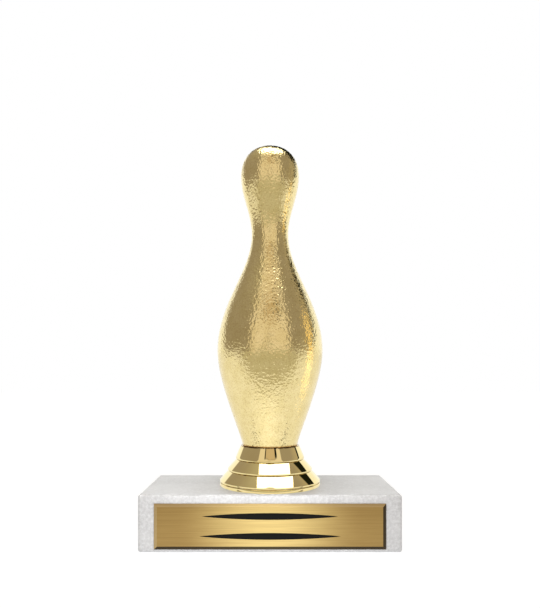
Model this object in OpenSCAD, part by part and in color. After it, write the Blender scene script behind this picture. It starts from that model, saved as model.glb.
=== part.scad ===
// Bowling pin trophy: a hollow two-shell pin on a three-tier foot, clamped to a marble block by
// one bolt from below, with a bevelled name plate on the block's front.
// Frame: +Z up, -Y is the front, and the origin is on the table under the pin's axis.

/* [Marble block] */
// Width of the block, left to right
block_w = 101.6; // [92:0.1:130]
// Depth of the block, front to back
block_d = 44.45; // [43:0.05:60]
// Height of the block
block_h = 22.2; // [21:0.1:23]
// Width of the broken edges of the block
block_edge = 1.0; // [0.4:0.1:1.3]
// Diameter of the drilled hole for the bolt
bolt_hole_d = 7.94; // [7:0.02:9]
// Diameter of the recess for the bolt's head and a socket wrench
recess_d = 19.05; // [17.5:0.05:24]
// Depth of the recess, from the underside
recess_depth = 10.2; // [9.8:0.1:10.8]

/* [Foot pads] */
// Diameter of a pad
pad_d = 9.5; // [6:0.5:12]
// Thickness of a pad
pad_t = 0.6; // [0.4:0.1:1.5]
// Distance from a pad's centre to the block's left or right side
pad_inset_x = 8.8; // [8:0.1:16]
// Distance from a pad's centre to the block's front or rear
pad_inset_y = 7.7; // [7.5:0.1:9]

/* [Name plate] */
// Width of the plate
plate_w = 88.9; // [60:0.1:89]
// Height of the plate
plate_h = 17.5; // [10:0.1:17.5]
// Thickness of the plate
plate_t = 0.8; // [0.5:0.1:1.2]
// Width of the plate's bevel
plate_bevel = 1.25; // [0.5:0.05:2]
// Height of the plate's lower edge above the block's underside
plate_rise = 1.45; // [1.4:0.05:1.6]
// Thickness of the adhesive sheet behind the plate
adhesive_t = 0.2; // [0.1:0.05:0.4]
// How far the adhesive sheet stops short of the plate's edge
adhesive_inset = 1.0; // [0.5:0.1:3]

/* [Clamp bolt] */
// Length of the bolt under its head (1 inch)
bolt_length = 25.4; // [24.6:0.1:26]
// Outside diameter of the thread (1/4 inch)
thread_d = 6.35; // [6.3:0.05:6.4]
// Size of the bolt's head and of the nut across two flats (7/16 inch)
hex_flats = 11.11; // [11:0.01:11.2]
// Height of the bolt's head
head_h = 3.97; // [3.5:0.01:4.5]
// Thickness of the nut
nut_h = 5.56; // [5:0.01:5.6]
// Thickness of the flat washer
flat_washer_t = 1.6; // [1.2:0.1:1.8]
// Thickness of the split lock washer
lock_washer_t = 1.57; // [1.2:0.01:1.7]

/* [Plinth] */
// Height of the plinth
plinth_h = 16.6; // [16.2:0.1:17.2]
// Radius at the top of the plinth
plinth_top_r = 12.2; // [12:0.1:12.6]
// Radius of the top tier
top_tier_r = 14.4; // [14:0.1:15]
// Radius of the middle tier
mid_tier_r = 17.7; // [17.2:0.1:18.2]
// Radius of the lowest tier
low_tier_r = 21; // [20.6:0.1:21.4]
// Height of the top tier's lower edge above the marble
top_tier_z = 11; // [10.7:0.1:11.4]
// Height of the middle tier's lower edge
mid_tier_z = 6.3; // [6:0.1:6.6]
// Height of the lowest tier's lower edge
low_tier_z = 1.6; // [1.4:0.1:1.9]
// Number of stiffening ribs inside
rib_count = 6; // [3:1:10]

/* [Pin] */
// Height of the pin's crown above the marble
crown_z = 141.8; // [140:0.1:145]
// Radius of the pin's foot
foot_r = 11.6; // [11.3:0.1:11.9]
// Radius of the belly
belly_r = 22.15; // [21.1:0.05:23.6]
// Height of the belly above the marble
belly_z = 56.1; // [54:0.1:58.5]
// Radius of the neck
neck_r = 7.75; // [7.2:0.05:8.7]
// Height of the neck above the marble
neck_z = 105.1; // [103:0.1:107]
// Radius of the head
head_r = 12.25; // [11.9:0.05:13.3]
// Height of the head's widest place above the marble
head_z = 129.3; // [128:0.1:131]
// Thickness of the shells
shell_wall = 1.8; // [1.4:0.1:2.2]

/* [Hidden] */
$fn = 96;
eps = 0.01;
PADS = ["pad_front_left", "pad_front_right", "pad_rear_left", "pad_rear_right"];

// Heights above the table: the block's faces, the recess and the bolt's bearing face
marble_top = pad_t + block_h;
recess_top = pad_t + recess_depth;
bearing_z = recess_top - flat_washer_t - lock_washer_t;

// Fits: the nut's thread and pocket, the washers' holes, and the pin's spigot in the plinth
thread_gap = 0.05;
hex_gap = 0.12;
washer_bore_d = thread_d + 0.4;
flat_washer_d = 15.9;
lock_washer_d = 12.4;
lock_washer_slit = 1.2;
spigot_r = 8.0;
spigot_bore_r = 5.2;
spigot_len = 7.1;
socket_gap = 0.1;

// Inside the plinth, above the marble: the socket's floor, the nut's seat and the hollow
socket_floor = plinth_h - spigot_len - 0.2;
nut_seat = socket_floor - nut_h - 0.04;
web_hole_d = thread_d + 0.65;
boss_r = 9.9;
plinth_wall = 1.6;
hollow_top = 8.4;
rib_t = 1.2;
// How far a tier's lower edge overhangs the tier below, that edge's rounding and upright band,
// and how far the tier's side bulges, as a share of its length
tier_step = 0.45;
tier_round = 0.3;
tier_band = 0.35;
tier_bulge = 0.02;
// The groove between the lowest tier and the foot's lip
lip_groove = 0.5;
lip_gap = 0.3;
lip_round = 0.3;

// Locating pegs between the two shells: distance from the axis and height above the marble
PEGS = [[8.9, 27.8], [16.1, 54.9], [6.4, 128]];
peg_r = 1.1;
peg_len = 3.6;
peg_gap = 0.05;
peg_boss_r = 2.3;
foot_round = 0.4;

// The pin's outline from foot to crown: four curves that share their ends, each with two handles
PIN_CURVES = [
    [[foot_r, plinth_h], [foot_r + 0.3, plinth_h + 4.1], [belly_r, belly_z - 13.1], [belly_r, belly_z]],
    [[belly_r, belly_z], [belly_r, belly_z + 19.9], [neck_r, neck_z - 15.3], [neck_r, neck_z]],
    [[neck_r, neck_z], [neck_r, neck_z + 8.7], [head_r, head_z - 7.8], [head_r, head_z]],
    [[head_r, head_z], [head_r, head_z + 9.7], [5.8, crown_z], [0, crown_z]]
];

function curve_point(c, t) =
    pow(1 - t, 3) * c[0] + 3 * t * pow(1 - t, 2) * c[1] + 3 * t * t * (1 - t) * c[2] + pow(t, 3) * c[3];

function curve_slope(c, t) =
    3 * pow(1 - t, 2) * (c[1] - c[0]) + 6 * t * (1 - t) * (c[2] - c[1]) + 3 * t * t * (c[3] - c[2]);

// The pin's outline moved inwards by inset, square to the curve. The point at the very foot is
// left out, because each use makes its own foot.
function outline(inset, steps) = [
    for (c = PIN_CURVES)
        for (i = [1 : steps])
            let (s = curve_slope(c, i / steps))
            curve_point(c, i / steps) + inset * [-s[1], s[0]] / norm(s)
];

// Radius of the middle of the shell's wall at a height
function mid_wall_r(z) = lookup(z, [for (p = outline(shell_wall / 2, 16)) [p[1], p[0]]]);

function arc(centre, r, from, to, steps) = [
    for (i = [0 : steps])
        let (a = from + (to - from) * i / steps)
        centre + r * [cos(a), sin(a)]
];

// One tier's side, from its top edge down: a cone with a slight bulge, a narrow upright band and
// the rounded lower edge
function tier_side(top_r, top_z, r, z) =
    let (
        top = [top_r, top_z],
        end = [r, z + tier_round + tier_band],
        bend = (top + end) / 2 + tier_bulge * [top[1] - end[1], end[0] - top[0]]
    )
    concat(
        [for (t = [0 : 1 / 6 : 1]) pow(1 - t, 2) * top + 2 * t * (1 - t) * bend + t * t * end],
        arc([r - tier_round, z + tier_round], tier_round, 0, -90, 3)
    );

function reversed(points) = [for (i = [len(points) - 1 : -1 : 0]) points[i]];

module chamfered_rect(w, h, c) {
    polygon([
        [-w / 2 + c, 0], [w / 2 - c, 0], [w / 2, c], [w / 2, h - c],
        [w / 2 - c, h], [-w / 2 + c, h], [-w / 2, h - c], [-w / 2, c]
    ]);
}

// A block with all twelve edges broken at 45 degrees, standing on z = 0
module broken_edge_block(w, d, h, c) {
    intersection() {
        translate([0, -d / 2, 0]) linear_extrude(h) chamfered_rect(w, d, c);
        translate([0, d / 2, 0]) rotate([90, 0, 0]) linear_extrude(d) chamfered_rect(w, h, c);
        translate([-w / 2, 0, 0]) rotate([90, 0, 90]) linear_extrude(w) chamfered_rect(d, h, c);
    }
}

// A ring with slightly broken outer edges, standing on z = 0
module ring(outer_d, inner_d, t) {
    edge = t / 8;
    rotate_extrude() polygon([
        [inner_d / 2, 0], [outer_d / 2 - edge, 0], [outer_d / 2, edge],
        [outer_d / 2, t - edge], [outer_d / 2 - edge, t], [inner_d / 2, t]
    ]);
}

// A hexagonal prism with its corners turned off at 30 degrees, at the bottom and perhaps the top
module turned_hexagon(flats, h, turn_top) {
    corner_r = flats / cos(30) / 2 + eps;
    cut = 0.9;
    fall = cut * tan(30);
    intersection() {
        cylinder(r = flats / cos(30) / 2, h = h, $fn = 6);
        rotate_extrude() polygon([
            [0, 0], [corner_r - cut, 0], [corner_r, fall],
            [corner_r, h - (turn_top ? fall : 0)], [corner_r - (turn_top ? cut : 0), h], [0, h]
        ]);
    }
}

// A strip along Y, bevelled along both long edges of its upper face
module bevelled_strip(across, along) {
    edge_t = plate_t * 0.35;
    rotate([90, 0, 0]) translate([0, 0, -along / 2]) linear_extrude(along) polygon([
        [-across / 2, 0], [across / 2, 0], [across / 2, edge_t],
        [across / 2 - plate_bevel, plate_t], [-across / 2 + plate_bevel, plate_t], [-across / 2, edge_t]
    ]);
}

module marble_base() {
    color([0.93, 0.93, 0.92])
    translate([0, 0, pad_t])
    difference() {
        broken_edge_block(block_w, block_d, block_h, block_edge);
        translate([0, 0, -1]) cylinder(d = bolt_hole_d, h = block_h + 2);
        translate([0, 0, -1]) cylinder(d = recess_d, h = recess_depth + 1);
    }
}

// A round pad under one corner: side is -1 for left and 1 for right, end is -1 for front and
// 1 for rear
module foot_pad(side, end) {
    edge = pad_t / 4;
    color([0.86, 0.86, 0.84])
    translate([side * (block_w / 2 - pad_inset_x), end * (block_d / 2 - pad_inset_y), 0])
    rotate_extrude() polygon([
        [0, 0], [pad_d / 2 - edge, 0], [pad_d / 2, edge], [pad_d / 2, pad_t], [0, pad_t]
    ]);
}

module nameplate() {
    color([0.85, 0.68, 0.32])
    translate([0, -block_d / 2 - adhesive_t, pad_t + plate_rise + plate_h / 2])
    rotate([90, 0, 0])
    intersection() {
        bevelled_strip(plate_w, plate_h);
        rotate(90) bevelled_strip(plate_h, plate_w);
    }
}

module plate_adhesive() {
    w = plate_w - 2 * adhesive_inset;
    color([0.95, 0.95, 0.9])
    translate([-w / 2, -block_d / 2 - adhesive_t, pad_t + plate_rise + adhesive_inset])
    cube([w, adhesive_t, plate_h - 2 * adhesive_inset]);
}

module flat_washer() {
    color([0.72, 0.73, 0.74])
    translate([0, 0, recess_top - flat_washer_t])
    ring(flat_washer_d, washer_bore_d, flat_washer_t);
}

// The split ring, flattened as it is when tight
module lock_washer() {
    color([0.6, 0.61, 0.62])
    translate([0, 0, bearing_z])
    difference() {
        ring(lock_washer_d, washer_bore_d, lock_washer_t);
        rotate(30) translate([lock_washer_d / 2, 0, lock_washer_t / 2]) rotate([30, 0, 0])
            cube([lock_washer_d, lock_washer_slit, 3 * lock_washer_t], center = true);
    }
}

// Hexagon-head bolt, head down; its thread is drawn as a plain cylinder of the outside diameter
module clamp_bolt() {
    tip = 0.8;
    color([0.74, 0.75, 0.76])
    translate([0, 0, bearing_z])
    union() {
        translate([0, 0, -head_h]) turned_hexagon(hex_flats, head_h, false);
        rotate_extrude() polygon([
            [0, -1], [thread_d / 2, -1], [thread_d / 2, bolt_length - tip],
            [thread_d / 2 - tip, bolt_length], [0, bolt_length]
        ]);
    }
}

module captive_nut() {
    color([0.78, 0.7, 0.5])
    translate([0, 0, marble_top + nut_seat])
    difference() {
        turned_hexagon(hex_flats, nut_h, true);
        translate([0, 0, -1]) cylinder(d = thread_d + 2 * thread_gap, h = nut_h + 2);
    }
}

// The three-tier foot: hollow and ribbed below, with the nut's pocket and the pin's socket above
module plinth() {
    color([0.93, 0.78, 0.4])
    translate([0, 0, marble_top])
    difference() {
        rotate_extrude() polygon(concat(
            [[0, plinth_h]],
            tier_side(plinth_top_r, plinth_h, top_tier_r, top_tier_z),
            tier_side(top_tier_r - tier_step, top_tier_z, mid_tier_r, mid_tier_z),
            tier_side(mid_tier_r - tier_step, mid_tier_z, low_tier_r, low_tier_z),
            [[low_tier_r - lip_groove, low_tier_z], [low_tier_r - lip_groove, low_tier_z - lip_gap]],
            [[low_tier_r, low_tier_z - lip_gap], [low_tier_r, lip_round]],
            [[low_tier_r - lip_round, 0], [0, 0]]
        ));
        plinth_hollow();
        translate([0, 0, socket_floor]) cylinder(r = spigot_r + socket_gap, h = plinth_h);
        translate([0, 0, nut_seat])
            cylinder(r = (hex_flats / 2 + hex_gap) / cos(30), h = nut_h + 1, $fn = 6);
        translate([0, 0, -1]) cylinder(d = web_hole_d, h = nut_seat + 2);
    }
}

// The ring-shaped hollow under the plinth, parted by the ribs
module plinth_hollow() {
    difference() {
        rotate_extrude() polygon([
            [boss_r, -1], [low_tier_r - plinth_wall, -1], [low_tier_r - plinth_wall, low_tier_z],
            [mid_tier_r - plinth_wall, mid_tier_z - 0.3], [mid_tier_r - plinth_wall, mid_tier_z + 0.3],
            [top_tier_r - plinth_wall, hollow_top], [boss_r, hollow_top]
        ]);
        for (i = [0 : rib_count - 1])
            rotate(i * 360 / rib_count + 30) translate([boss_r - 1, -rib_t / 2, -2])
                cube([low_tier_r, rib_t, hollow_top + 4]);
    }
}

// Half of the hollow pin, on the +Y side: the wall, the foot's floor and half of the spigot
module half_shell() {
    floor_z = plinth_h + shell_wall;
    inner = [for (p = outline(shell_wall, 12)) if (p[1] > floor_z + 0.2) p];
    rotate_extrude(angle = 180) polygon(concat(
        [[spigot_bore_r, plinth_h - spigot_len], [spigot_r, plinth_h - spigot_len], [spigot_r, plinth_h]],
        arc([foot_r - foot_round, plinth_h + foot_round], foot_round, -90, 0, 3),
        outline(0, 16),
        reversed(inner),
        [[inner[0][0], floor_z], [spigot_bore_r, floor_z]]
    ));
}

// The bosses that hold the pegs and sockets, on the +Y side, each ending inside the wall
module peg_bosses() {
    reach = peg_boss_r + 0.2;
    for (p = PEGS)
        intersection() {
            at_peg(p) cylinder(r = peg_boss_r, h = belly_r);
            rotate(-90) translate([0, 0, p[1] - reach])
                cylinder(r1 = mid_wall_r(p[1] - reach), r2 = mid_wall_r(p[1] + reach), h = 2 * reach);
        }
}

// Places its child at a left and a right peg, pointing along +Y from the parting plane
module at_peg(p) {
    for (side = [-1, 1])
        translate([side * p[0], 0, p[1]]) rotate([-90, 0, 0]) children();
}

module at_pegs() {
    for (p = PEGS) at_peg(p) children();
}

module pin_front_shell() {
    color([0.93, 0.8, 0.46])
    translate([0, 0, marble_top])
    union() {
        rotate(180) {
            half_shell();
            peg_bosses();
        }
        translate([0, -1, 0]) at_pegs() cylinder(r = peg_r, h = peg_len + 1);
    }
}

module pin_rear_shell() {
    color([0.93, 0.8, 0.46])
    translate([0, 0, marble_top])
    difference() {
        union() {
            half_shell();
            peg_bosses();
        }
        translate([0, -1, 0]) at_pegs() cylinder(r = peg_r + peg_gap, h = peg_len + 1.4);
    }
}

marble_base();
nameplate();
plate_adhesive();
for (i = [0 : 3]) foot_pad(i % 2 * 2 - 1, floor(i / 2) * 2 - 1);
flat_washer();
lock_washer();
clamp_bolt();
captive_nut();
plinth();
pin_front_shell();
pin_rear_shell();
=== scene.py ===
"""The looks of a small bowling pin trophy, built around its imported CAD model.

The trophy is a hollow pin of two frosted shells on a mirror-finished plinth, bolted to a marble
block with an engraved brass plate. The studio around it is a white tent with two dark flags.

Lengths are in millimetres until a mesh is made, and in metres from there on. +Z is up, -Y is the
front, and the origin is on the table under the pin's axis. Angles round the studio are measured
from the front towards the right.
"""
import math

import bmesh
import bpy
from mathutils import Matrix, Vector, noise


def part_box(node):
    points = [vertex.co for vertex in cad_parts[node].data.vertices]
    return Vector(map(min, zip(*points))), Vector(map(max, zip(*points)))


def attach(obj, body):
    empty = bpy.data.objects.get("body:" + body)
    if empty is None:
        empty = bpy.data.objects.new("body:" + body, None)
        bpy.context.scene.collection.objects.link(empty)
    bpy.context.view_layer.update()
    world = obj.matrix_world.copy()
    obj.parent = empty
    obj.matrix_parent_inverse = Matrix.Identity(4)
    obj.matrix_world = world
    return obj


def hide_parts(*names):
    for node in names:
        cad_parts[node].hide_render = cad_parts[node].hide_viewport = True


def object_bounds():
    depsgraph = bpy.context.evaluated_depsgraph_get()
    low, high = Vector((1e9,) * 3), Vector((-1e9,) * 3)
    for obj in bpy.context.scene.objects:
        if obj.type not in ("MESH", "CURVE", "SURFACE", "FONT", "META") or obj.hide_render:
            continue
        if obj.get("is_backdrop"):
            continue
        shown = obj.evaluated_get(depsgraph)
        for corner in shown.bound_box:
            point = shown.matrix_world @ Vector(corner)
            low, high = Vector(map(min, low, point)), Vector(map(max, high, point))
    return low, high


MM = 0.001
TURN = 2 * math.pi

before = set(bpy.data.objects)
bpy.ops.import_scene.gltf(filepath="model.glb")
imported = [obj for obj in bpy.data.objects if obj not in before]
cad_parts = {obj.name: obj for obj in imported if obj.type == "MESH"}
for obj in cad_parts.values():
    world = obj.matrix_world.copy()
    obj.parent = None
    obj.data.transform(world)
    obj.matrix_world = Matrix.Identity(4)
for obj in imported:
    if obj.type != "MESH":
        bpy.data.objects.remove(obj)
cad_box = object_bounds()


def box_mm(node):
    """A CAD node's lowest and highest corners, in millimetres."""
    low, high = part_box(node)
    return low / MM, high / MM


# ---------------------------------------------------------------------------------------------
# Driving dimensions: places come from the CAD nodes, and the rest repeats the part's own values
# ---------------------------------------------------------------------------------------------

BLOCK_LOW, BLOCK_HIGH = box_mm("marble_base")
PLATE_LOW, PLATE_HIGH = box_mm("nameplate")
PLINTH_LOW, PLINTH_HIGH = box_mm("plinth")
SHELL_LOW, SHELL_HIGH = box_mm("pin_front_shell")
BOLT_LOW, BOLT_HIGH = box_mm("clamp_bolt")
NUT_LOW, NUT_HIGH = box_mm("captive_nut")
_, WASHER_HIGH = box_mm("flat_washer")

# Heights that the figure is measured from
MARBLE_TOP = PLINTH_LOW.z
FOOT_Z = PLINTH_HIGH.z
CROWN_Z = SHELL_HIGH.z

# The pin
BELLY_R = SHELL_HIGH.x
FOOT_R, NECK_R, HEAD_R = 11.6, 7.75, 12.25
BELLY_Z, NECK_Z, HEAD_Z = MARBLE_TOP + 56.1, MARBLE_TOP + 105.1, MARBLE_TOP + 129.3
PIN_CURVES = [
    [(FOOT_R, FOOT_Z), (FOOT_R + 0.3, FOOT_Z + 4.1), (BELLY_R, BELLY_Z - 13.1), (BELLY_R, BELLY_Z)],
    [(BELLY_R, BELLY_Z), (BELLY_R, BELLY_Z + 19.9), (NECK_R, NECK_Z - 15.3), (NECK_R, NECK_Z)],
    [(NECK_R, NECK_Z), (NECK_R, NECK_Z + 8.7), (HEAD_R, HEAD_Z - 7.8), (HEAD_R, HEAD_Z)],
    [(HEAD_R, HEAD_Z), (HEAD_R, HEAD_Z + 9.7), (5.8, CROWN_Z), (0, CROWN_Z)],
]
SHELL_WALL = 1.8
SPIGOT_R, SPIGOT_BORE_R = 8.0, 5.2
SPIGOT_Z = SHELL_LOW.z
FOOT_ROUND = 0.4
# Locating pegs between the shells: distance from the axis and height
PEGS = [(8.9, MARBLE_TOP + 27.8), (16.1, MARBLE_TOP + 54.9), (6.4, MARBLE_TOP + 128.0)]
PEG_R, PEG_LENGTH, PEG_CHAMFER, PEG_BOSS_R = 1.1, 3.6, 0.3, 2.3
# Their sockets: gap round the peg, spare depth and chamfer of the mouth
PEG_GAP, PEG_SPARE, PEG_MOUTH = 0.05, 0.4, 0.2
# Groove in the crinkled skin where the two shells meet
SEAM_DEPTH, SEAM_WIDTH = 0.12, 0.35

# The plinth: each tier's upper radius, upper height, lower radius and lower height
TIERS = [
    (12.2, FOOT_Z, 14.4, MARBLE_TOP + 11.0),
    (13.95, MARBLE_TOP + 11.0, 17.7, MARBLE_TOP + 6.3),
    (17.25, MARBLE_TOP + 6.3, PLINTH_HIGH.x, MARBLE_TOP + 1.6),
]
TIER_ROUND, TIER_BAND, TIER_BULGE = 0.3, 0.35, 0.02
LIP_GROOVE, LIP_GAP, LIP_EDGE, LIP_ROUND = 0.5, 0.3, 0.1, 0.3
PLINTH_WALL, BOSS_R, HOLLOW_TOP, HOLLOW_SLOPE = 1.6, 9.9, MARBLE_TOP + 8.4, 0.3
RIB_COUNT, RIB_T, FIRST_RIB = 6, 1.2, TURN / 12
SOCKET_R, SOCKET_FLOOR = 8.1, FOOT_Z - 7.3
POCKET_FLATS, WEB_HOLE_R = 11.35, 3.5

# The block
BLOCK_EDGE, BLOCK_EDGE_STEPS, BLOCK_STEP = 1.0, 6, 1.2
# Wear of its rounded edges: depth, and how fine the wear is
BLOCK_WEAR = [(0.22, 0.35), (0.1, 1.3)]
BOLT_HOLE_R, RECESS_R, RECESS_CHAMFER = 3.97, 9.525, 0.35
RECESS_TOP = WASHER_HIGH.z

# The name plate and the two engraved rules that stand for its lines of print
PLATE_BEVEL, PLATE_EDGE_T, PLATE_SOFTENING = 1.25, 0.28, 0.06
# Each rule's length, and its height above the middle of the plate
RULES = [(52.0, 4.0), (54.0, -3.6)]
RULE_WIDTH, RULE_DEPTH, RULE_SWELL = 2.6, 0.16, 0.8
# The rules lie within this height of the middle of the plate
RULES_REACH = 6.0

# Hardware
THREAD_R, THREAD_PITCH, THREAD_DEPTH, THREAD_RUN_OUT = 3.175, 1.27, 0.62, 1.0
HEX_FLATS, HEX_CHAMFER = 11.11, 0.9
HEAD_H, HEAD_FACE_R, BOLT_NECK, BOLT_TIP = 3.97, 5.3, 0.05, 0.8
NUT_BORE_R, NUT_MOUTH = 3.225, 0.4

# Crinkle of the frosted plating: grain size and height
GRAIN, GRAIN_HEIGHT = 0.75, 0.16

# Meshes of the shells: the inner skin's rows are ROW_STEP apart, and each step of the inner skin
# meets ROWS_PER_STEP rows and COLUMNS_PER_STEP columns of the crinkled outer skin
ROW_STEP, ROWS_PER_STEP, COLUMNS_PER_STEP = 1.3, 4, 4
HALF_COLUMNS = 192
WALL_STEP = 0.5

# Meshes of the nut and bolt: points in each row, rows in each pitch of thread, and the radius at
# which a row closes a face on the axis
HARDWARE_SEGMENTS, ROWS_PER_PITCH, AXIS_R = 72, 10, 0.05

# How far a cutting shape runs past the surface that it cuts
PAST = 1.0


# ---------------------------------------------------------------------------------------------
# Curves and profiles, as lists of (radius, height)
# ---------------------------------------------------------------------------------------------

def bezier(curve, t):
    a, b, c, d = (Vector(p) for p in curve)
    return (1 - t) ** 3 * a + 3 * t * (1 - t) ** 2 * b + 3 * t * t * (1 - t) * c + t ** 3 * d


def spaced(points, step):
    """Points along a polyline, equally far apart, about step from one to the next."""
    points = [Vector(p) for p in points]
    lengths = [0.0]
    for a, b in zip(points, points[1:]):
        lengths.append(lengths[-1] + (b - a).length)
    count = max(1, round(lengths[-1] / step))
    found, i = [], 0
    for k in range(count + 1):
        at = lengths[-1] * k / count
        while i < len(points) - 2 and lengths[i + 1] < at:
            i += 1
        share = (at - lengths[i]) / (lengths[i + 1] - lengths[i])
        found.append(points[i].lerp(points[i + 1], share))
    return found


def arc(centre, radius, start, end, steps):
    """A round stretch from one angle to another, in degrees."""
    angles = [math.radians(start + (end - start) * i / steps) for i in range(steps + 1)]
    return [(centre[0] + radius * math.cos(a), centre[1] + radius * math.sin(a)) for a in angles]


def pin_outline(step):
    """The pin's outline from its foot to its crown."""
    steps = 200
    fine = [bezier(PIN_CURVES[0], 0.0)]
    for curve in PIN_CURVES:
        fine += [bezier(curve, i / steps) for i in range(1, steps + 1)]
    return spaced(fine, step)


def inset(outline, distance):
    """The pin's outline moved inwards. Its last point stays on the axis."""
    moved = []
    for i, p in enumerate(outline):
        along = outline[min(i + 1, len(outline) - 1)] - outline[max(i - 1, 0)]
        moved.append(p + distance * Vector((-along.y, along.x)).normalized())
    moved[-1].x = 0
    return moved


def radius_at(outline, z):
    """Radius of an outline that runs upwards, at a height."""
    for a, b in zip(outline, outline[1:]):
        if a.y <= z <= b.y:
            return a.x + (b.x - a.x) * (z - a.y) / (b.y - a.y)
    return 0.0


def tier_side(top_r, top_z, r, z):
    """One tier of the plinth: a slightly bulging cone, a narrow band and a rounded lower edge."""
    steps = 12
    top = Vector((top_r, top_z))
    end = Vector((r, z + TIER_ROUND + TIER_BAND))
    along = end - top
    bend = (top + end) / 2 + TIER_BULGE * Vector((-along.y, along.x))
    side = []
    for i in range(steps + 1):
        t = i / steps
        side.append(tuple((1 - t) ** 2 * top + 2 * t * (1 - t) * bend + t * t * end))
    return side + arc((r - TIER_ROUND, z + TIER_ROUND), TIER_ROUND, 0, -90, 6)


# ---------------------------------------------------------------------------------------------
# Meshes
# ---------------------------------------------------------------------------------------------

def mesh_object(name, points, faces, sharp=35):
    """A smooth-shaded object from points in millimetres. Edges over sharp degrees stay crisp."""
    mesh = bpy.data.meshes.new(name)
    mesh.from_pydata([Vector(p) * MM for p in points], [], faces)
    bm = bmesh.new()
    bm.from_mesh(mesh)
    bmesh.ops.remove_doubles(bm, verts=bm.verts, dist=1e-7)
    bmesh.ops.recalc_face_normals(bm, faces=bm.faces)
    bm.to_mesh(mesh)
    bm.free()
    mesh.shade_smooth()
    mesh.set_sharp_from_angle(angle=math.radians(sharp))
    obj = bpy.data.objects.new(name, mesh)
    bpy.context.scene.collection.objects.link(obj)
    return obj


def revolved(profile, segments):
    """Points and faces of a closed (radius, height) profile turned about the z axis."""
    points, rows = [], []
    for r, z in profile:
        if r < 1e-6:
            rows.append([len(points)] * segments)
            points.append((0, 0, z))
        else:
            rows.append(list(range(len(points), len(points) + segments)))
            angles = (TURN * i / segments for i in range(segments))
            points += [(r * math.cos(a), r * math.sin(a), z) for a in angles]
    faces = []
    for row, above in zip(rows, rows[1:] + rows[:1]):
        for i in range(segments):
            j = (i + 1) % segments
            corners = list(dict.fromkeys((row[i], row[j], above[j], above[i])))
            if len(corners) > 2:
                faces.append(corners)
    return points, faces


def drill(radius, low, high, segments):
    """Points and faces of a round hole's cutting shape."""
    return revolved([(0, low), (radius, low), (radius, high), (0, high)], segments)


def prism(outline, low, high):
    """Points and faces of an upright prism on an outline of (x, y)."""
    n = len(outline)
    points = [(x, y, low) for x, y in outline] + [(x, y, high) for x, y in outline]
    faces = [list(range(n))[::-1], list(range(n, 2 * n))]
    faces += [(i, (i + 1) % n, n + (i + 1) % n, n + i) for i in range(n)]
    return points, faces


def hexagon(flats):
    """A hexagon of a given size across its flats, as (x, y)."""
    corner = flats / 2 / math.cos(math.pi / 6)
    angles = (TURN * i / 6 for i in range(6))
    return [(corner * math.cos(a), corner * math.sin(a)) for a in angles]


def applied(obj):
    """Turns an object's modifiers into plain mesh."""
    graph = bpy.context.evaluated_depsgraph_get()
    mesh = bpy.data.meshes.new_from_object(obj.evaluated_get(graph))
    obj.modifiers.clear()
    obj.data = mesh
    return obj


def cut(obj, *cutters, sharp=35):
    """Cuts closed (points, faces) shapes out of an object."""
    for k, (points, faces) in enumerate(cutters):
        tool = mesh_object(f"cutter_{k}", points, faces)
        change = obj.modifiers.new("cut", "BOOLEAN")
        change.operation = "DIFFERENCE"
        change.solver = "EXACT"
        change.object = tool
        applied(obj)
        bpy.data.objects.remove(tool)
    obj.data.shade_smooth()
    obj.data.set_sharp_from_angle(angle=math.radians(sharp))
    return obj


def finish_piece(obj, body, slot, *nodes, materials=()):
    """Gives a piece its materials, puts it on a body and hides its CAD nodes. Its slot is not used.
    """
    for m in materials:
        obj.data.materials.append(m)
    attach(obj, body)
    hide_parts(*nodes)
    return obj


# ---------------------------------------------------------------------------------------------
# Materials
# ---------------------------------------------------------------------------------------------

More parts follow.
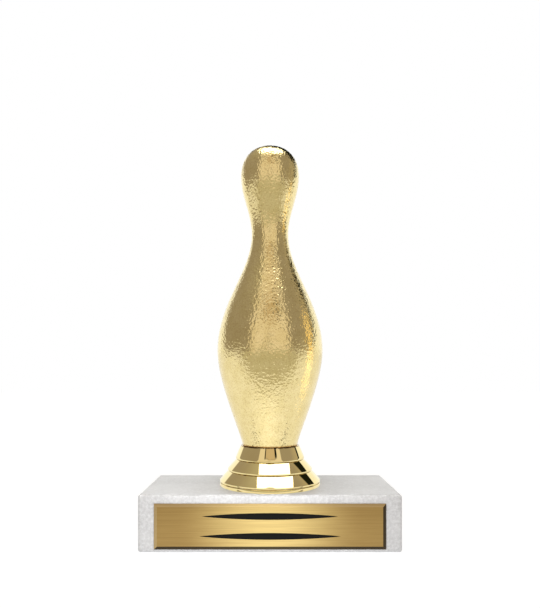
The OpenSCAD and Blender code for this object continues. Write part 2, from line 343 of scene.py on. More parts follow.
class Tree:
    """Adds nodes to a node tree. Each method makes a node and returns its output."""

    def __init__(self, tree):
        self.tree = tree

    def put(self, socket, value):
        if isinstance(value, bpy.types.NodeSocket):
            self.tree.links.new(value, socket)
        else:
            socket.default_value = value

    def node(self, kind, inputs, output=0, **settings):
        made = self.tree.nodes.new(kind)
        for key, value in settings.items():
            setattr(made, key, value)
        for key, value in inputs.items():
            self.put(made.inputs[key], value)
        return made.outputs[output]

    def math(self, operation, a, b=0.0):
        return self.node("ShaderNodeMath", {0: a, 1: b}, operation=operation)

    def both(self, a, b):
        """Where two masks overlap."""
        return self.math("MULTIPLY", a, b)

    def either(self, a, b):
        """Where at least one of two masks lies."""
        return self.math("MAXIMUM", a, b)

    def ramp(self, value, low, high, to_low=0.0, to_high=1.0):
        """A value's way from low to high, as a smooth step from to_low to to_high."""
        inputs = {0: value, 1: low, 2: high, 3: to_low, 4: to_high}
        return self.node("ShaderNodeMapRange", inputs, interpolation_type="SMOOTHSTEP")

    def between(self, value, low, high, soft):
        """1 where a value lies between low and high, and 0 elsewhere, with soft edges."""
        rise = self.ramp(value, low - soft, low + soft)
        fall = self.ramp(value, high - soft, high + soft, 1.0, 0.0)
        return self.both(rise, fall)

    def mix(self, factor, a, b, blend="MIX"):
        made = self.tree.nodes.new("ShaderNodeMix")
        made.data_type = "RGBA"
        made.blend_type = blend
        for socket, value in zip((made.inputs[0], made.inputs[6], made.inputs[7]), (factor, a, b)):
            self.put(socket, value)
        return made.outputs[2]

    def noise(self, at, scale, detail=2.0, roughness=0.5, distortion=0.0):
        inputs = {
            "Vector": at, "Scale": scale, "Detail": detail,
            "Roughness": roughness, "Distortion": distortion,
        }
        return self.node("ShaderNodeTexNoise", inputs)

    def stretched(self, at, scale):
        """Coordinates scaled by a different amount along each axis."""
        return self.node("ShaderNodeMapping", {"Vector": at, "Scale": scale})

    def parts(self, at):
        """The x, y and z of a vector."""
        made = self.tree.nodes.new("ShaderNodeSeparateXYZ")
        self.put(made.inputs[0], at)
        return made.outputs

    def bump(self, height, distance, strength=1.0):
        inputs = {"Height": height, "Distance": distance, "Strength": strength}
        return self.node("ShaderNodeBump", inputs)


def new_material(name, **sockets):
    """A material with one Principled shader: its tree, shader and object coordinates."""
    made = bpy.data.materials.new(name)
    made.use_nodes = True
    tree = Tree(made.node_tree)
    shader = made.node_tree.nodes["Principled BSDF"]
    for key, value in sockets.items():
        shader.inputs[key.replace("_", " ").title().replace("Ior", "IOR")].default_value = value
    at = tree.node("ShaderNodeTexCoord", {}, output="Object")
    return made, tree, shader, at


def frosted_gold():
    """Vacuum plating over a crinkled moulding: a fine grain on top of the mesh's own crinkle, and
    painted shade, a darker orange, round the foot where the pin stands on the plinth."""
    deep, pale = (0.80, 0.67, 0.32, 1), (0.86, 0.73, 0.375, 1)
    brown, painted_shade_amber = (0.62, 0.50, 0.42, 1), (0.62, 0.38, 0.12, 1)
    made, t, shader, at = new_material("frosted_gold", metallic=1.0)
    grain = t.noise(at, 1500, detail=1.0)
    speckle = t.noise(at, 1700, roughness=0.6)
    mottle = t.noise(at, 260, detail=3)
    base = t.mix(t.ramp(mottle, 0.3, 0.7), deep, pale)
    base = t.mix(t.ramp(speckle, 0.36, 0.52, 0.32, 0.0), base, brown, "MULTIPLY")
    # painted shade: a darker orange band round the foot, where the pin meets the plinth
    foot = t.ramp(t.parts(at)[2], (FOOT_Z + 0.3) * MM, (FOOT_Z + 0.9) * MM, 0.85, 0.0)
    base = t.mix(foot, base, painted_shade_amber)
    t.put(shader.inputs["Base Color"], base)
    t.put(shader.inputs["Roughness"], t.ramp(t.noise(at, 500), 0.3, 0.7, 0.06, 0.11))
    t.put(shader.inputs["Normal"], t.bump(grain, 0.0001))
    return made


def mirror_gold():
    """The same plating on a polished moulding, with the faint ripple of moulded plastic, and
    painted shade, a dark orange-brown, in thin bands along each tier's lower edge and under the
    pin's foot."""
    deep, pale, painted_shade_amber = (0.84, 0.70, 0.34, 1), (0.88, 0.745, 0.38, 1), (0.16, 0.085, 0.03, 1)
    made, t, shader, at = new_material("mirror_gold", metallic=1.0)
    cloud = t.noise(at, 90)
    base = t.mix(t.ramp(cloud, 0.35, 0.65), deep, pale)
    height = t.parts(at)[2]
    # painted shade in thin bands: on the plinth's top under the pin's foot and along each tier's
    # lower edge, broken up by noise
    lines = t.ramp(height, (FOOT_Z - 0.35) * MM, (FOOT_Z - 0.2) * MM)
    for _, _, _, low in TIERS:
        line = t.between(height, (low - 0.16) * MM, (low + 0.12) * MM, 0.05 * MM)
        lines = t.either(lines, line)
    broken_painted_shade = t.both(lines, t.ramp(t.noise(at, 1100), 0.35, 0.6, 0.35, 1.0))
    base = t.mix(broken_painted_shade, base, painted_shade_amber)
    t.put(shader.inputs["Base Color"], base)
    t.put(shader.inputs["Roughness"], t.ramp(t.noise(at, 700, detail=4), 0.4, 0.75, 0.02, 0.06))
    t.put(shader.inputs["Normal"], t.bump(t.noise(at, 260), 0.00001, 0.15))
    return made


def marble():
    """White crystalline marble: sugary grain, cloudy patches and a few thin grey veins."""
    shade, clear = (0.43, 0.44, 0.455, 1), (0.515, 0.525, 0.54, 1)
    crystal, grey = (0.65, 0.665, 0.685, 1), (0.46, 0.47, 0.49, 1)
    made, t, shader, at = new_material("white_marble", ior=1.5)
    cloud = t.noise(at, 45, detail=4, roughness=0.6)
    sugar = t.noise(at, 900, detail=3, roughness=0.7)
    vein = t.math("ABSOLUTE", t.math("SUBTRACT", t.noise(at, 28, detail=5, distortion=0.8), 0.5))
    base = t.mix(t.ramp(cloud, 0.35, 0.7), shade, clear)
    base = t.mix(t.ramp(sugar, 0.35, 0.7, 0.0, 0.7), base, crystal)
    base = t.mix(t.ramp(vein, 0.0, 0.02, 0.22, 0.0), base, grey)
    t.put(shader.inputs["Base Color"], base)
    t.put(shader.inputs["Roughness"], t.ramp(sugar, 0.3, 0.7, 0.32, 0.55))
    t.put(shader.inputs["Normal"], t.bump(sugar, 0.00006, 0.5))
    return made


def plate_brass():
    """Brass brushed along its length, with a painted sheen: paler in the middle, browner at the
    ends. Its bevel has painted shade, black, along the bottom and right, and a painted highlight,
    cream, along the top and left."""
    brown, gold, scratch = (0.38, 0.252, 0.083, 1), (0.83, 0.64, 0.255, 1), (0.30, 0.19, 0.06, 1)
    black, cream = (0.02, 0.016, 0.01, 1), (0.95, 0.85, 0.6, 1)
    made, t, shader, at = new_material("plate_brass", metallic=0.75)
    x = t.parts(at)[0]
    half = PLATE_HIGH.x * MM
    # painted sheen: the plate is paler in the middle and browner towards its ends
    middle = t.ramp(t.math("ABSOLUTE", x), half * 0.02, half * 0.82, 1.0, 0.0)
    brush = t.noise(t.stretched(at, (14, 900, 1800)), 4, detail=4, roughness=0.6)
    base = t.mix(middle, brown, gold)
    base = t.mix(t.ramp(brush, 0.3, 0.7, 0.0, 0.25), base, scratch, "MULTIPLY")
    # painted light and shade on the bevel, by which way its faces point: painted shade, black, on
    # the faces turned down or to the right, and a painted highlight, cream, on those turned up or
    # to the left
    right, _, up = t.parts(t.node("ShaderNodeNewGeometry", {}, output="Normal"))
    left, down = t.math("MULTIPLY", right, -1.0), t.math("MULTIPLY", up, -1.0)
    base = t.mix(t.ramp(t.either(down, right), 0.15, 0.3, 0.0, 0.93), base, black)
    base = t.mix(t.ramp(t.either(left, up), 0.15, 0.3, 0.0, 0.12), base, cream)
    t.put(shader.inputs["Base Color"], base)
    t.put(shader.inputs["Roughness"], t.ramp(brush, 0.3, 0.7, 0.28, 0.42))
    t.put(shader.inputs["Normal"], t.bump(brush, 0.00001, 0.4))
    return made


def rule_enamel():
    """Black fill in the engraved rules."""
    black, soot = (0.002, 0.002, 0.002, 1), (0.006, 0.006, 0.005, 1)
    made, t, shader, at = new_material("rule_enamel", specular_ior_level=0.15)
    speck = t.noise(at, 1500)
    t.put(shader.inputs["Base Color"], t.mix(speck, black, soot))
    t.put(shader.inputs["Roughness"], t.ramp(speck, 0.3, 0.7, 0.5, 0.7))
    t.put(shader.inputs["Normal"], t.bump(speck, 0.00002, 0.3))
    return made


def steel(name, low, high, grain_scale, rough):
    """Plated or oiled steel: a cloudy colour and a turned or rolled grain."""
    made, t, shader, at = new_material(name, metallic=1.0)
    cloud = t.noise(at, 400, detail=4, roughness=0.6)
    grain = t.noise(t.stretched(at, grain_scale), 300, detail=3)
    t.put(shader.inputs["Base Color"], t.mix(t.ramp(cloud, 0.3, 0.7), low, high))
    t.put(shader.inputs["Roughness"], t.ramp(cloud, 0.3, 0.7, rough - 0.08, rough + 0.1))
    t.put(shader.inputs["Normal"], t.bump(grain, 0.00001, 0.5))
    return made


def rubber():
    """Grey-white bumper rubber with dust in its pores."""
    grey, white = (0.62, 0.62, 0.60, 1), (0.74, 0.74, 0.72, 1)
    made, t, shader, at = new_material("pad_rubber", ior=1.5, roughness=0.6)
    pores = t.noise(at, 2500, detail=3)
    t.put(shader.inputs["Base Color"], t.mix(t.ramp(pores, 0.35, 0.65), grey, white))
    t.put(shader.inputs["Normal"], t.bump(pores, 0.00003, 0.5))
    return made


def film():
    """Cream double-sided adhesive film, cloudy with trapped air."""
    cream, cloudy = (0.80, 0.79, 0.70, 1), (0.90, 0.89, 0.82, 1)
    made, t, shader, at = new_material("adhesive_film", roughness=0.5)
    cloud = t.noise(at, 600, detail=3)
    t.put(shader.inputs["Base Color"], t.mix(cloud, cream, cloudy))
    t.put(shader.inputs["Normal"], t.bump(cloud, 0.00001, 0.4))
    return made


# ---------------------------------------------------------------------------------------------
# The pin
# ---------------------------------------------------------------------------------------------

def crinkle(p):
    """How deep the crinkle lies at a point on the pin, from 0 to GRAIN_HEIGHT."""
    coarse = noise.noise(p / GRAIN)
    # half the size, and from elsewhere in the noise, so that the two don't line up
    fine = noise.noise(p / (GRAIN * 0.5) + Vector((31.0, 7.0, 3.0)))
    return GRAIN_HEIGHT * min(1.0, max(0.0, 0.5 + 0.55 * coarse + 0.2 * fine))


def shell_rows():
    """The shell's outer rows, the inner rows that face every ROWS_PER_STEP-th of them, and the
    number of outer rows below the crinkle."""
    clear_of_foot = FOOT_Z + FOOT_ROUND + 0.3
    keys = [k for k in pin_outline(ROW_STEP) if k.y > clear_of_foot]
    floor_z = FOOT_Z + SHELL_WALL
    corner_r = radius_at(inset(pin_outline(WALL_STEP), SHELL_WALL), floor_z)
    inner = [
        Vector((SPIGOT_BORE_R, SPIGOT_Z)), Vector((SPIGOT_BORE_R, FOOT_Z)),
        Vector((SPIGOT_BORE_R, floor_z)), Vector((corner_r, floor_z)),
    ]
    for p in inset(keys, SHELL_WALL):
        inner.append(Vector((min(p.x, corner_r), floor_z)) if p.y < floor_z else p)

    foot_centre = (FOOT_R - FOOT_ROUND, FOOT_Z + FOOT_ROUND)
    foot = [Vector(p) for p in arc(foot_centre, FOOT_ROUND, -90, 0, ROWS_PER_STEP)]
    spigot = [Vector((SPIGOT_R, SPIGOT_Z)), Vector((SPIGOT_R, FOOT_Z)), foot[0]]
    outer = []
    for a, b in zip(spigot, spigot[1:]):
        outer += [a.lerp(b, i / ROWS_PER_STEP) for i in range(ROWS_PER_STEP)]
    outer += foot[:-1]
    crinkled_from = len(outer)
    # between two inner rows, the outer rows follow the curve and lie equally far apart
    fine = [foot[-1]] + [p for p in pin_outline(ROW_STEP / 40) if p.y > foot[-1].y]
    heights = [foot[-1]] + keys
    for a, b in zip(heights, heights[1:]):
        stretch = [a] + [p for p in fine if a.y < p.y < b.y] + [b]
        step = sum((q - p).length for p, q in zip(stretch, stretch[1:])) / ROWS_PER_STEP
        outer += spaced(stretch, step)[:ROWS_PER_STEP]
    return outer + [keys[-1]], inner, crinkled_from


def shell_points(rows, columns, side, crinkled_from=None):
    """Points of half a turn of rows, side 1 for the rear half and -1 for the front half. Rows from
    crinkled_from on take the crinkle, and bend in a little where the two shells meet."""
    points, index = [], []
    for k, p in enumerate(rows):
        if p.x < 1e-6:
            index.append([len(points)] * (columns + 1))
            points.append(Vector((0, 0, p.y)))
            continue
        along = rows[min(k + 1, len(rows) - 1)] - rows[k - 1]
        outward = Vector((along.y, -along.x)).normalized()
        index.append(list(range(len(points), len(points) + columns + 1)))
        for i in range(columns + 1):
            a = side * math.pi * i / columns
            at = Vector((p.x * math.cos(a), side * abs(p.x * math.sin(a)), p.y))
            if crinkled_from is not None and k >= crinkled_from:
                seam = max(0.0, 1 - abs(at.y) / SEAM_WIDTH) ** 2
                depth = crinkle(at) + SEAM_DEPTH * seam
                at -= depth * Vector((outward.x * math.cos(a), outward.x * math.sin(a), outward.y))
            points.append(at)
    return points, index


def grid_faces(index):
    """Faces between rows of point numbers, which may meet in one point."""
    faces = []
    for row, above in zip(index, index[1:]):
        for i in range(len(row) - 1):
            corners = list(dict.fromkeys((row[i], row[i + 1], above[i + 1], above[i])))
            if len(corners) > 2:
                faces.append(corners)
    return faces


def peg_boss(x, z, side, wall, hollow):
    """A peg's boss on one shell: a peg stands on it, or it is bored for one."""
    steps = 32
    centre_r = 0.01
    ring = [(math.cos(TURN * i / steps), math.sin(TURN * i / steps)) for i in range(steps)]

    def circle(radius, y):
        return [(x + radius * c, y, z + radius * s) for c, s in ring]

    def on_wall(radius):
        found = []
        for c, s in ring:
            px, pz = x + radius * c, z + radius * s
            found.append((px, side * math.sqrt(max(radius_at(wall, pz) ** 2 - px * px, 0)), pz))
        return found

    if hollow:
        bore_r, end = PEG_R + PEG_GAP, side * (PEG_LENGTH + PEG_SPARE)
        rings = [
            circle(centre_r, end), circle(bore_r, end),
            circle(bore_r, side * PEG_MOUTH), circle(bore_r + PEG_MOUTH, 0),
        ]
    else:
        tip = -side * PEG_LENGTH
        rings = [
            circle(centre_r, tip), circle(PEG_R - PEG_CHAMFER, tip),
            circle(PEG_R, tip + side * PEG_CHAMFER), circle(PEG_R, 0),
        ]
    rings += [circle(PEG_BOSS_R, 0), on_wall(PEG_BOSS_R)]
    rings += [on_wall(PEG_BOSS_R * 0.5), on_wall(centre_r)]
    points = [p for r in rings for p in r]
    faces = [[k * steps + i for i in range(steps)] for k in (0, len(rings) - 1)]
    for k in range(len(rings) - 1):
        for i in range(steps):
            j = (i + 1) % steps
            faces.append([k * steps + i, k * steps + j, (k + 1) * steps + j, (k + 1) * steps + i])
    return points, faces


def pin_shell(name, side):
    """One half of the hollow pin, with the crinkle in its mesh."""
    outer_rows, inner_rows, crinkled_from = shell_rows()
    inner_columns = HALF_COLUMNS // COLUMNS_PER_STEP
    points, outer = shell_points(outer_rows, HALF_COLUMNS, side, crinkled_from)
    inner_points, inner = shell_points(inner_rows, inner_columns, side)
    inner = [[len(points) + i for i in row] for row in inner]
    points += inner_points
    faces = grid_faces(outer) + grid_faces(inner)
    # the spigot's lower end, and the two parting faces
    for i in range(inner_columns):
        edge = outer[0][COLUMNS_PER_STEP * i:COLUMNS_PER_STEP * (i + 1) + 1]
        faces.append(edge + [inner[0][i + 1], inner[0][i]])
    for end in (0, -1):
        for k in range(len(inner) - 1):
            edge = [row[end] for row in outer[ROWS_PER_STEP * k:ROWS_PER_STEP * (k + 1) + 1]]
            faces.append(edge + [inner[k + 1][end], inner[k][end]])
    middle_of_wall = inset(pin_outline(WALL_STEP), SHELL_WALL / 2)
    for x, z in PEGS:
        for across in (-x, x):
            more_points, more_faces = peg_boss(across, z, side, middle_of_wall, hollow=side > 0)
            faces += [[len(points) + i for i in f] for f in more_faces]
            points += more_points
    return mesh_object(name, points, faces, sharp=50)


# ---------------------------------------------------------------------------------------------
# The plinth
# ---------------------------------------------------------------------------------------------

def plinth():
    """The three-tier foot, with the spigot's socket, the nut's pocket and its hollows."""
    lip_r = PLINTH_HIGH.x
    groove_z = TIERS[-1][3]
    profile = [(0, FOOT_Z)]
    for tier in TIERS:
        profile += tier_side(*tier)
    profile += [(lip_r - LIP_GROOVE, groove_z), (lip_r - LIP_GROOVE, groove_z - LIP_GAP)]
    profile += arc((lip_r - LIP_EDGE, groove_z - LIP_GAP - LIP_EDGE), LIP_EDGE, 90, 0, 4)
    profile += arc((lip_r - LIP_ROUND, MARBLE_TOP + LIP_ROUND), LIP_ROUND, 0, -90, 6)
    profile += [(0, MARBLE_TOP)]
    body = mesh_object("plinth_shell", *revolved(profile, 256), sharp=40)
    socket = drill(SOCKET_R, SOCKET_FLOOR, FOOT_Z + PAST, 96)
    pocket = prism(hexagon(POCKET_FLATS), NUT_LOW.z, SOCKET_FLOOR + PAST)
    web_hole = drill(WEB_HOLE_R, MARBLE_TOP - PAST, NUT_LOW.z + PAST, 64)
    return cut(body, socket, pocket, web_hole, *plinth_hollows(), sharp=40)


def plinth_hollows():
    """The hollows between the ribs under the plinth, as cutting shapes."""
    steps = 12
    low, mid, top = (r - PLINTH_WALL for r in (PLINTH_HIGH.x, TIERS[1][2], TIERS[0][2]))
    section = [
        (BOSS_R, MARBLE_TOP - PAST), (low, MARBLE_TOP - PAST), (low, TIERS[2][3]),
        (mid, TIERS[1][3] - HOLLOW_SLOPE), (mid, TIERS[1][3] + HOLLOW_SLOPE),
        (top, HOLLOW_TOP), (BOSS_R, HOLLOW_TOP),
    ]
    n = len(section)
    for k in range(RIB_COUNT):
        points = []
        for i in range(steps + 1):
            for r, z in section:
                # the rib's half thickness, seen from the axis, shrinks with the radius
                half = math.asin(RIB_T / 2 / r)
                start = TURN * k / RIB_COUNT + FIRST_RIB + half
                sweep = TURN / RIB_COUNT - 2 * half
                a = start + sweep * i / steps
                points.append((r * math.cos(a), r * math.sin(a), z))
        faces = [list(range(n)), [steps * n + i for i in range(n)][::-1]]
        for i in range(steps):
            for j in range(n):
                m = (j + 1) % n
                faces.append([i * n + j, (i + 1) * n + j, (i + 1) * n + m, i * n + m])
        yield points, faces


# ---------------------------------------------------------------------------------------------
# The block and its plate
# ---------------------------------------------------------------------------------------------

def edge_spaced(low, high):
    """Coordinates across a face of the block, close together over its rounded edges."""
    rounding = [BLOCK_EDGE * i / BLOCK_EDGE_STEPS for i in range(BLOCK_EDGE_STEPS)]
    width = high - low - 2 * BLOCK_EDGE
    count = max(1, round(width / BLOCK_STEP))
    flat = [low + BLOCK_EDGE + width * i / count for i in range(count + 1)]
    return [low + r for r in rounding] + flat + [high - r for r in reversed(rounding)]


def rounded(p):
    """A point of the sharp block moved onto its rounded and slightly worn surface."""
    sides = zip(p, BLOCK_LOW, BLOCK_HIGH)
    core = Vector([min(max(c, low + BLOCK_EDGE), high - BLOCK_EDGE) for c, low, high in sides])
    out = p - core
    on_edge = sum(1 for c in out if abs(c) > 1e-6) > 1
    out.normalize()
    wear = 0.0
    if on_edge:
        wear = sum(depth * max(0.0, noise.noise(p * fine)) for depth, fine in BLOCK_WEAR)
    return core + out * (BLOCK_EDGE - wear)


def marble_block():
    """The block with its worn edges, its bolt hole and the recess for the bolt's head."""
    across = [edge_spaced(low, high) for low, high in zip(BLOCK_LOW, BLOCK_HIGH)]
    points, faces = [], []
    for axis in range(3):
        u, v = [a for a in range(3) if a != axis]
        for end in (BLOCK_LOW[axis], BLOCK_HIGH[axis]):
            start = len(points)
            for cu in across[u]:
                for cv in across[v]:
                    p = Vector()
                    p[axis], p[u], p[v] = end, cu, cv
                    points.append(rounded(p))
            width = len(across[v])
            for i in range(len(across[u]) - 1):
                for j in range(width - 1):
                    a = start + i * width + j
                    faces.append([a, a + 1, a + width + 1, a + width])
    block = mesh_object("marble_block", points, faces)
    below = BLOCK_LOW.z - PAST
    recess = revolved([
        (0, below), (RECESS_R + RECESS_CHAMFER + PAST, below),
        (RECESS_R, BLOCK_LOW.z + RECESS_CHAMFER), (RECESS_R, RECESS_TOP), (0, RECESS_TOP),
    ], 128)
    return cut(block, recess, drill(BOLT_HOLE_R, RECESS_TOP - PAST, MARBLE_TOP + PAST, 96))


def swelled_rule(length, steps=40):
    """Outline of an engraved rule that swells from two fine points to its middle, as (x, z)."""
    upper = []
    for i in range(steps + 1):
        x = length * (i / steps - 0.5)
        swell = math.cos(math.pi * x / length) ** RULE_SWELL if abs(x) < length / 2 else 0
        upper.append((x, RULE_WIDTH / 2 * swell))
    lower = [(x, -h) for x, h in upper[1:-1]]
    return upper + lower[::-1]


def nameplate():
    """A bevelled plate facing -Y, with two swelled rules engraved in it."""
    middle_z = (PLATE_LOW.z + PLATE_HIGH.z) / 2
    half_w, half_h = PLATE_HIGH.x, (PLATE_HIGH.z - PLATE_LOW.z) / 2
    back, front = PLATE_HIGH.y, PLATE_LOW.y
    points = []
    for shrink, y in ((0, back), (0, back - PLATE_EDGE_T), (PLATE_BEVEL, front)):
        w, h = half_w - shrink, half_h - shrink
        points += [(x, y, middle_z + z) for x, z in ((-w, -h), (w, -h), (w, h), (-w, h))]
    faces = [[0, 1, 2, 3], [8, 9, 10, 11]]
    for ring in (0, 4):
        for i in range(4):
            j = (i + 1) % 4
            faces.append([ring + i, ring + j, ring + 4 + j, ring + 4 + i])
    plate = mesh_object("brass_nameplate", points, faces, sharp=20)
    soften = plate.modifiers.new("soften", "BEVEL")
    soften.width = PLATE_SOFTENING * MM
    soften.segments = 2
    soften.limit_method = "ANGLE"
    soften.angle_limit = math.radians(15)
    applied(plate)
    for length, rise in RULES:
        outline = [(x, z + middle_z + rise) for x, z in swelled_rule(length)]
        points, faces = prism(outline, front - PAST, front + RULE_DEPTH)
        cut(plate, ([(x, y, z) for x, z, y in points], faces), sharp=20)
    return plate


def enamel_rules(plate):
    """Gives the plate's engraved faces, which lie just behind its front, the second material."""
    slack, margin = 0.02, 1
    front = PLATE_LOW.y * MM
    deepest = front + (RULE_DEPTH + slack) * MM
    middle_z = (PLATE_LOW.z + PLATE_HIGH.z) / 2 * MM
    inner_w = (PLATE_HIGH.x - PLATE_BEVEL - margin) * MM
    for face in plate.data.polygons:
        c = face.center
        engraved = front + 1e-6 < c.y < deepest
        if engraved and abs(c.x) < inner_w and abs(c.z - middle_z) < RULES_REACH * MM:
            face.material_index = 1


# ---------------------------------------------------------------------------------------------
# Hardware and pads
# ---------------------------------------------------------------------------------------------

def thread_depth(z, angle):
    """How far a 60-degree thread lies below its outside diameter."""
    slope, crest = 2.6, 0.15
    share = (z / THREAD_PITCH - angle / TURN) % 1.0
    return THREAD_DEPTH * min(1.0, max(0.0, slope * abs(share - 0.5) - crest))


def turned_row(z, radius_at_angle):
    """A row of points round the axis, whose radius may change with the angle."""
    row = []
    for i in range(HARDWARE_SEGMENTS):
        a = TURN * i / HARDWARE_SEGMENTS
        r = radius_at_angle(a)
        row.append((r * math.cos(a), r * math.sin(a), z))
    return row


def ring_row(radius, z):
    """A row of points round the axis, all at one radius."""
    return turned_row(z, lambda a: radius)


def threaded(low, high):
    """Rows of the bolt's thread from low to high, where it fades out."""
    count = round((high - low) / THREAD_PITCH * ROWS_PER_PITCH)
    rows = []
    for k in range(count + 1):
        z = low + (high - low) * k / count
        fade = min(1.0, (z - low) / THREAD_RUN_OUT, (high - z) / THREAD_RUN_OUT)
        rows.append(turned_row(z, lambda a: THREAD_R - fade * thread_depth(z, a)))
    return rows


def hexagon_rows(low, high, chamfer_low, chamfer_high):
    """Rows of a turned hexagon: flats with corners rounded off at 30 degrees at either end."""
    steps = 5
    half, slope = HEX_FLATS / 2, math.tan(math.pi / 6)
    corner = half / math.cos(math.pi / 6)
    cut_r = corner - HEX_CHAMFER
    fall = HEX_CHAMFER * slope

    def flat_r(a):
        return half / math.cos((a + math.pi / 6) % (math.pi / 3) - math.pi / 6)

    chamfer = [fall * i / steps for i in range(steps + 1)]
    levels = [low + c for c in chamfer] if chamfer_low else [low]
    levels += [high - c for c in reversed(chamfer)] if chamfer_high else [high]
    rows = []
    for z in levels:
        limit = corner
        if chamfer_low:
            limit = min(limit, cut_r + (z - low) / slope)
        if chamfer_high:
            limit = min(limit, cut_r + (high - z) / slope)
        rows.append(turned_row(z, lambda a: min(flat_r(a), limit)))
    return rows


def rows_object(name, rows, loop, sharp=30):
    """A closed object from rows of equal length: a loop of rows, or rows closed by a face at
    either end."""
    n = len(rows[0])
    points = [p for row in rows for p in row]
    faces = []
    for k in range(len(rows) if loop else len(rows) - 1):
        row, above = k * n, (k + 1) % len(rows) * n
        for i in range(n):
            j = (i + 1) % n
            faces.append([row + i, row + j, above + j, above + i])
    if not loop:
        faces += [list(range(n)), list(range((len(rows) - 1) * n, len(rows) * n))]
    return mesh_object(name, points, faces, sharp)


def hex_bolt():
    """Hexagon-head bolt, head down, with its real 1/4-20 thread."""
    head, bearing, tip = BOLT_LOW.z, BOLT_LOW.z + HEAD_H, BOLT_HIGH.z
    rows = [ring_row(AXIS_R, head), ring_row(HEAD_FACE_R, head)]
    rows += hexagon_rows(head, bearing, True, False)
    rows += [ring_row(THREAD_R, bearing)]
    rows += threaded(bearing + BOLT_NECK, tip - BOLT_TIP)
    rows += [ring_row(THREAD_R - BOLT_TIP, tip), ring_row(AXIS_R, tip)]
    return rows_object("hex_bolt", rows, False)


def hex_nut():
    """Hexagon nut with chamfered mouths."""
    low, high = NUT_LOW.z, NUT_HIGH.z
    rows = hexagon_rows(low, high, True, True)
    rows += [ring_row(NUT_BORE_R + NUT_MOUTH, high), ring_row(NUT_BORE_R, high - NUT_MOUTH)]
    rows += [ring_row(NUT_BORE_R, low + NUT_MOUTH), ring_row(NUT_BORE_R + NUT_MOUTH, low)]
    return rows_object("hex_nut", rows, True)


def bumper(name, node):
    """A round rubber foot with a rounded lower rim."""
    low, high = box_mm(node)
    centre = (low + high) / 2
    radius, edge, nick = (high.x - low.x) / 2, (high.z - low.z) / 4, 0.02
    profile = [(0, low.z), (radius * 0.5, low.z)]
    profile += arc((radius - edge, low.z + edge), edge, -90, 0, 6)
    profile += [(radius, high.z - nick), (radius - nick, high.z), (0, high.z)]
    points, faces = revolved(profile, 64)
    return mesh_object(name, [(x + centre.x, y + centre.y, z) for x, y, z in points], faces)


# ---------------------------------------------------------------------------------------------
# Studio
# ---------------------------------------------------------------------------------------------

def studio_world():
    """What surrounds the trophy, by direction: a white tent with a dark flag on either side, a
    sand-coloured front, and black high at the back. The camera itself sees plain white."""
    world = bpy.data.worlds.new("studio")
    world.use_nodes = True
    bpy.context.scene.world = world
    t = Tree(world.node_tree)
    direction = t.node("ShaderNodeTexCoord", {}, output="Generated")
    x, y, z = t.parts(direction)
    degrees = 180 / math.pi
    round_angle = t.math("MULTIPLY", t.math("ARCTAN2", x, t.math("MULTIPLY", y, -1.0)), degrees)
    height = t.math("MULTIPLY", t.math("ARCSINE", z), degrees)
    # the zones' lower edges and sides waver a little
    waver = t.math("MULTIPLY", t.math("SUBTRACT", t.noise(direction, 4), 0.5), 9.0)
    height = t.math("ADD", height, waver)
    raised = t.math("MAXIMUM", height, 0.0)

    def leaning(slope):
        """The angle round the studio, shifted by slope for each degree of height."""
        return t.math("ADD", round_angle, t.math("MULTIPLY", raised, slope))

    white, sand, dark = (1.15, 1.15, 1.13, 1), (0.91, 0.81, 0.72, 1), (0.39, 0.34, 0.29, 1)
    black, tan, haze = (0.012, 0.014, 0.008, 1), (0.68, 0.54, 0.40, 1), (0.62, 0.58, 0.48, 1)
    pale, tawny, ground = (0.55, 0.51, 0.42, 1), (0.52, 0.45, 0.34, 1), (0.90, 0.88, 0.86, 1)

    # the left flag reaches further round to the back higher up, and is paler there
    left_angle, left_edge = leaning(1.2), (-114, -108)
    left = t.both(t.ramp(left_angle, *left_edge), t.ramp(round_angle, -44, -41, 1.0, 0.0))
    colour = t.mix(left, white, t.mix(t.ramp(height, 35, 75), dark, pale))
    # the right flag's outer edge leans back as it rises
    right_angle, right_edge = leaning(-0.9), (96, 98)
    right = t.both(t.ramp(right_angle, *right_edge, 1.0, 0.0), t.ramp(round_angle, 40, 44))
    colour = t.mix(right, colour, t.mix(t.ramp(right_angle, 52, 92), dark, tawny))
    # the front, between the flags
    colour = t.mix(t.between(round_angle, -42.5, 42, 1.5), colour, sand)
    # a tan panel high in front, between two dark posts, and a faint leaning post below it
    panel_height = t.between(height, 36, 53, 1.5)
    for low_angle, high_angle, shade in ((-21, 27, black), (-17, 19, tan)):
        panel = t.both(t.between(round_angle, low_angle, high_angle, 1.0), panel_height)
        colour = t.mix(panel, colour, shade)
    post = t.both(t.between(leaning(-0.8), -17, -12, 1.0), t.between(height, 1, 20, 2.0))
    colour = t.mix(t.math("MULTIPLY", post, 0.6), colour, black)
    # a black line beyond the right flag, and black high at the back on both sides
    line = t.both(t.ramp(right_angle, *right_edge), t.ramp(leaning(-1.2), 101, 103, 1.0, 0.0))
    line = t.both(line, t.ramp(height, -6, -2))
    high_right = t.both(t.ramp(height, 28, 31), t.ramp(round_angle, 115, 118))
    high_left = t.both(t.ramp(height, 33, 36), t.ramp(left_angle, *left_edge, 1.0, 0.0))
    colour = t.mix(t.either(t.either(high_right, high_left), line), colour, black)
    # below the horizon, past the table's edge
    below = t.mix(t.between(round_angle, -62, 62, 8.0), ground, haze)
    colour = t.mix(t.ramp(height, -0.5, 0.5, 1.0, 0.0), colour, below)

    seen = t.node("ShaderNodeLightPath", {}, output="Is Camera Ray")
    background = world.node_tree.nodes["Background"]
    t.put(background.inputs["Color"], t.mix(seen, colour, (1, 1, 1, 1)))


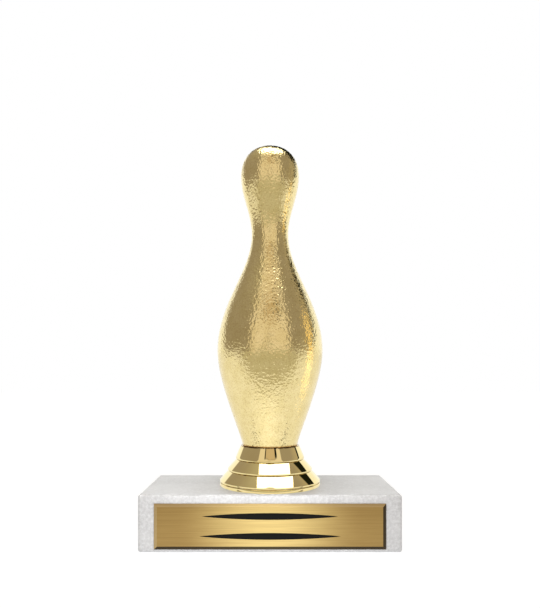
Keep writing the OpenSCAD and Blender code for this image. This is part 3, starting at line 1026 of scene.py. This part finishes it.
def area_light(name, at, aim, size, power, pieces=(), colour=(1, 1, 1), **hidden_from):
    """A rectangular lamp. Where pieces are given, it lights only those."""
    light = bpy.data.lights.new(name, "AREA")
    light.shape = "RECTANGLE"
    light.size, light.size_y = size
    light.energy = power
    light.color = colour
    obj = bpy.data.objects.new(name, light)
    obj.location = at
    obj.rotation_euler = (Vector(aim) - Vector(at)).to_track_quat("-Z", "Y").to_euler()
    for key, value in hidden_from.items():
        setattr(obj, key, value)
    bpy.context.scene.collection.objects.link(obj)
    if pieces:
        group = bpy.data.collections.new(name + "_pieces")
        for piece in pieces:
            group.objects.link(piece)
        obj.light_linking.receiver_collection = group


def mirrored_lights(foot, shells):
    """What the gold mirrors: an overhead softbox, which reached further forward for the plinth than
    for the pin, and a narrow golden card close on the pin's right."""
    hidden = {"visible_camera": False, "visible_diffuse": False}
    softbox_z, power_per_area = 1.0, 9.6
    for name, left, right, front, back, pieces in (
        ("plinth_softbox", -0.36, 0.66, -0.36, 0.37, [foot]),
        ("pin_softbox", -0.30, 0.44, -0.25, 0.31, shells),
    ):
        size = (right - left, back - front)
        x, y = (left + right) / 2, (front + back) / 2
        power = power_per_area * size[0] * size[1]
        area_light(name, (x, y, softbox_z), (x, y, 0), size, power, pieces, **hidden)
    golden = (0.86, 0.58, 0.16)
    area_light(
        "warm_card", (0.125, 0, 0.08), (0, 0, 0.08), (0.02, 0.14), 0.009, shells, golden, **hidden
    )


def fill_lights(stone):
    """Lamps that the gold doesn't mirror: soft fill from the front, a small lamp before the plate,
    and an overhead lamp for the stone alone."""
    for name, at, aim, size, power, pieces in (
        ("front_fill", (-0.9, -0.8, 0.6), (0, 0, 0.03), (1.0, 0.8), 0.45, ()),
        ("plate_lamp", (-0.008, -0.085, 0.05), (-0.008, 0, 0.014), (0.04, 0.02), 0.048, ()),
        ("overhead_fill", (0, 0.1, 1.2), (0, 0, 0), (0.8, 0.8), 9.5, [stone]),
    ):
        area_light(name, at, aim, size, power, pieces, visible_camera=False, visible_glossy=False)


def table():
    """White table. Its front edge lies before the trophy, out of the camera's sight. It glows, so
    that it can't be told from the white behind it."""
    front, back, half, glow = -0.125, 2.0, 1.5, 0.89
    corners = [(-half, front, 0), (half, front, 0), (half, back, 0), (-half, back, 0)]
    mesh = bpy.data.meshes.new("table")
    mesh.from_pydata(corners, [], [(0, 1, 2, 3)])
    obj = bpy.data.objects.new("table", mesh)
    bpy.context.scene.collection.objects.link(obj)
    made, t, shader, at = new_material("table_white", roughness=0.9, specular_ior_level=0.0)
    paper = t.mix(t.noise(at, 900), (0.26, 0.26, 0.26, 1), (0.29, 0.29, 0.29, 1))
    t.put(shader.inputs["Base Color"], paper)
    shader.inputs["Emission Color"].default_value = (1, 1, 1, 1)
    shader.inputs["Emission Strength"].default_value = glow
    mesh.materials.append(made)
    obj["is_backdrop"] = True


def camera():
    """A level camera in front, a little above the block, with a small rise of the lens."""
    distance, height = 0.2422, 0.0688
    data = bpy.data.cameras.new("camera")
    data.lens = 33.97
    data.shift_y = 0.1168
    obj = bpy.data.objects.new("camera", data)
    obj.location = (0, -distance, height)
    obj.rotation_euler = (math.pi / 2, 0, 0)
    bpy.context.scene.collection.objects.link(obj)
    bpy.context.scene.camera = obj


# ---------------------------------------------------------------------------------------------
# Build the pieces and the studio
# ---------------------------------------------------------------------------------------------

FROSTED, MIRROR, BRASS = frosted_gold(), mirror_gold(), plate_brass()
ZINC = steel("zinc_steel", (0.50, 0.51, 0.52, 1), (0.72, 0.72, 0.71, 1), (1, 1, 6), 0.32)
SPRING = steel("spring_steel", (0.28, 0.28, 0.29, 1), (0.42, 0.42, 0.42, 1), (1, 1, 8), 0.38)
NUT_STEEL = steel("nut_steel", (0.56, 0.45, 0.24, 1), (0.74, 0.62, 0.36, 1), (1, 1, 4), 0.3)

SHELLS = []
for shell_name, shell_side, shell_node in (
    ("frosted_front_shell", -1, "pin_front_shell"),
    ("frosted_rear_shell", 1, "pin_rear_shell"),
):
    shell = pin_shell(shell_name, shell_side)
    finish_piece(shell, "figure", "frosted_gold_plastic", shell_node, materials=[FROSTED])
    SHELLS.append(shell)
FOOT = finish_piece(plinth(), "figure", "mirror_gold_plastic", "plinth", materials=[MIRROR])
finish_piece(hex_nut(), "figure", "nut_steel", "captive_nut", materials=[NUT_STEEL])
STONE = finish_piece(marble_block(), "base", "marble", "marble_base", materials=[marble()])
# the gold doesn't mirror the block in the photograph
STONE.visible_glossy = False
PLATE = finish_piece(
    nameplate(), "base", "plate_brass", "nameplate", materials=[BRASS, rule_enamel()]
)
enamel_rules(PLATE)
finish_piece(hex_bolt(), "bolt", "zinc_steel", "clamp_bolt", materials=[ZINC])
PAD_RUBBER = rubber()
for end in ("front", "rear"):
    for side in ("left", "right"):
        node = f"pad_{end}_{side}"
        pad = bumper(f"bumper_{end}_{side}", node)
        finish_piece(pad, "base", "rubber_pad", node, materials=[PAD_RUBBER])
# the washers and the adhesive keep their CAD meshes
for node, material in (("flat_washer", ZINC), ("lock_washer", SPRING), ("plate_adhesive", film())):
    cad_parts[node].material_slots[0].material = material

studio_world()
mirrored_lights(FOOT, SHELLS)
fill_lights(STONE)
table()
camera()
bpy.context.scene.view_settings.view_transform = "Standard"

sizes = {"cad": cad_box, "visual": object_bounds()}
{k: [list(v) for v in b] for k, b in sizes.items()}
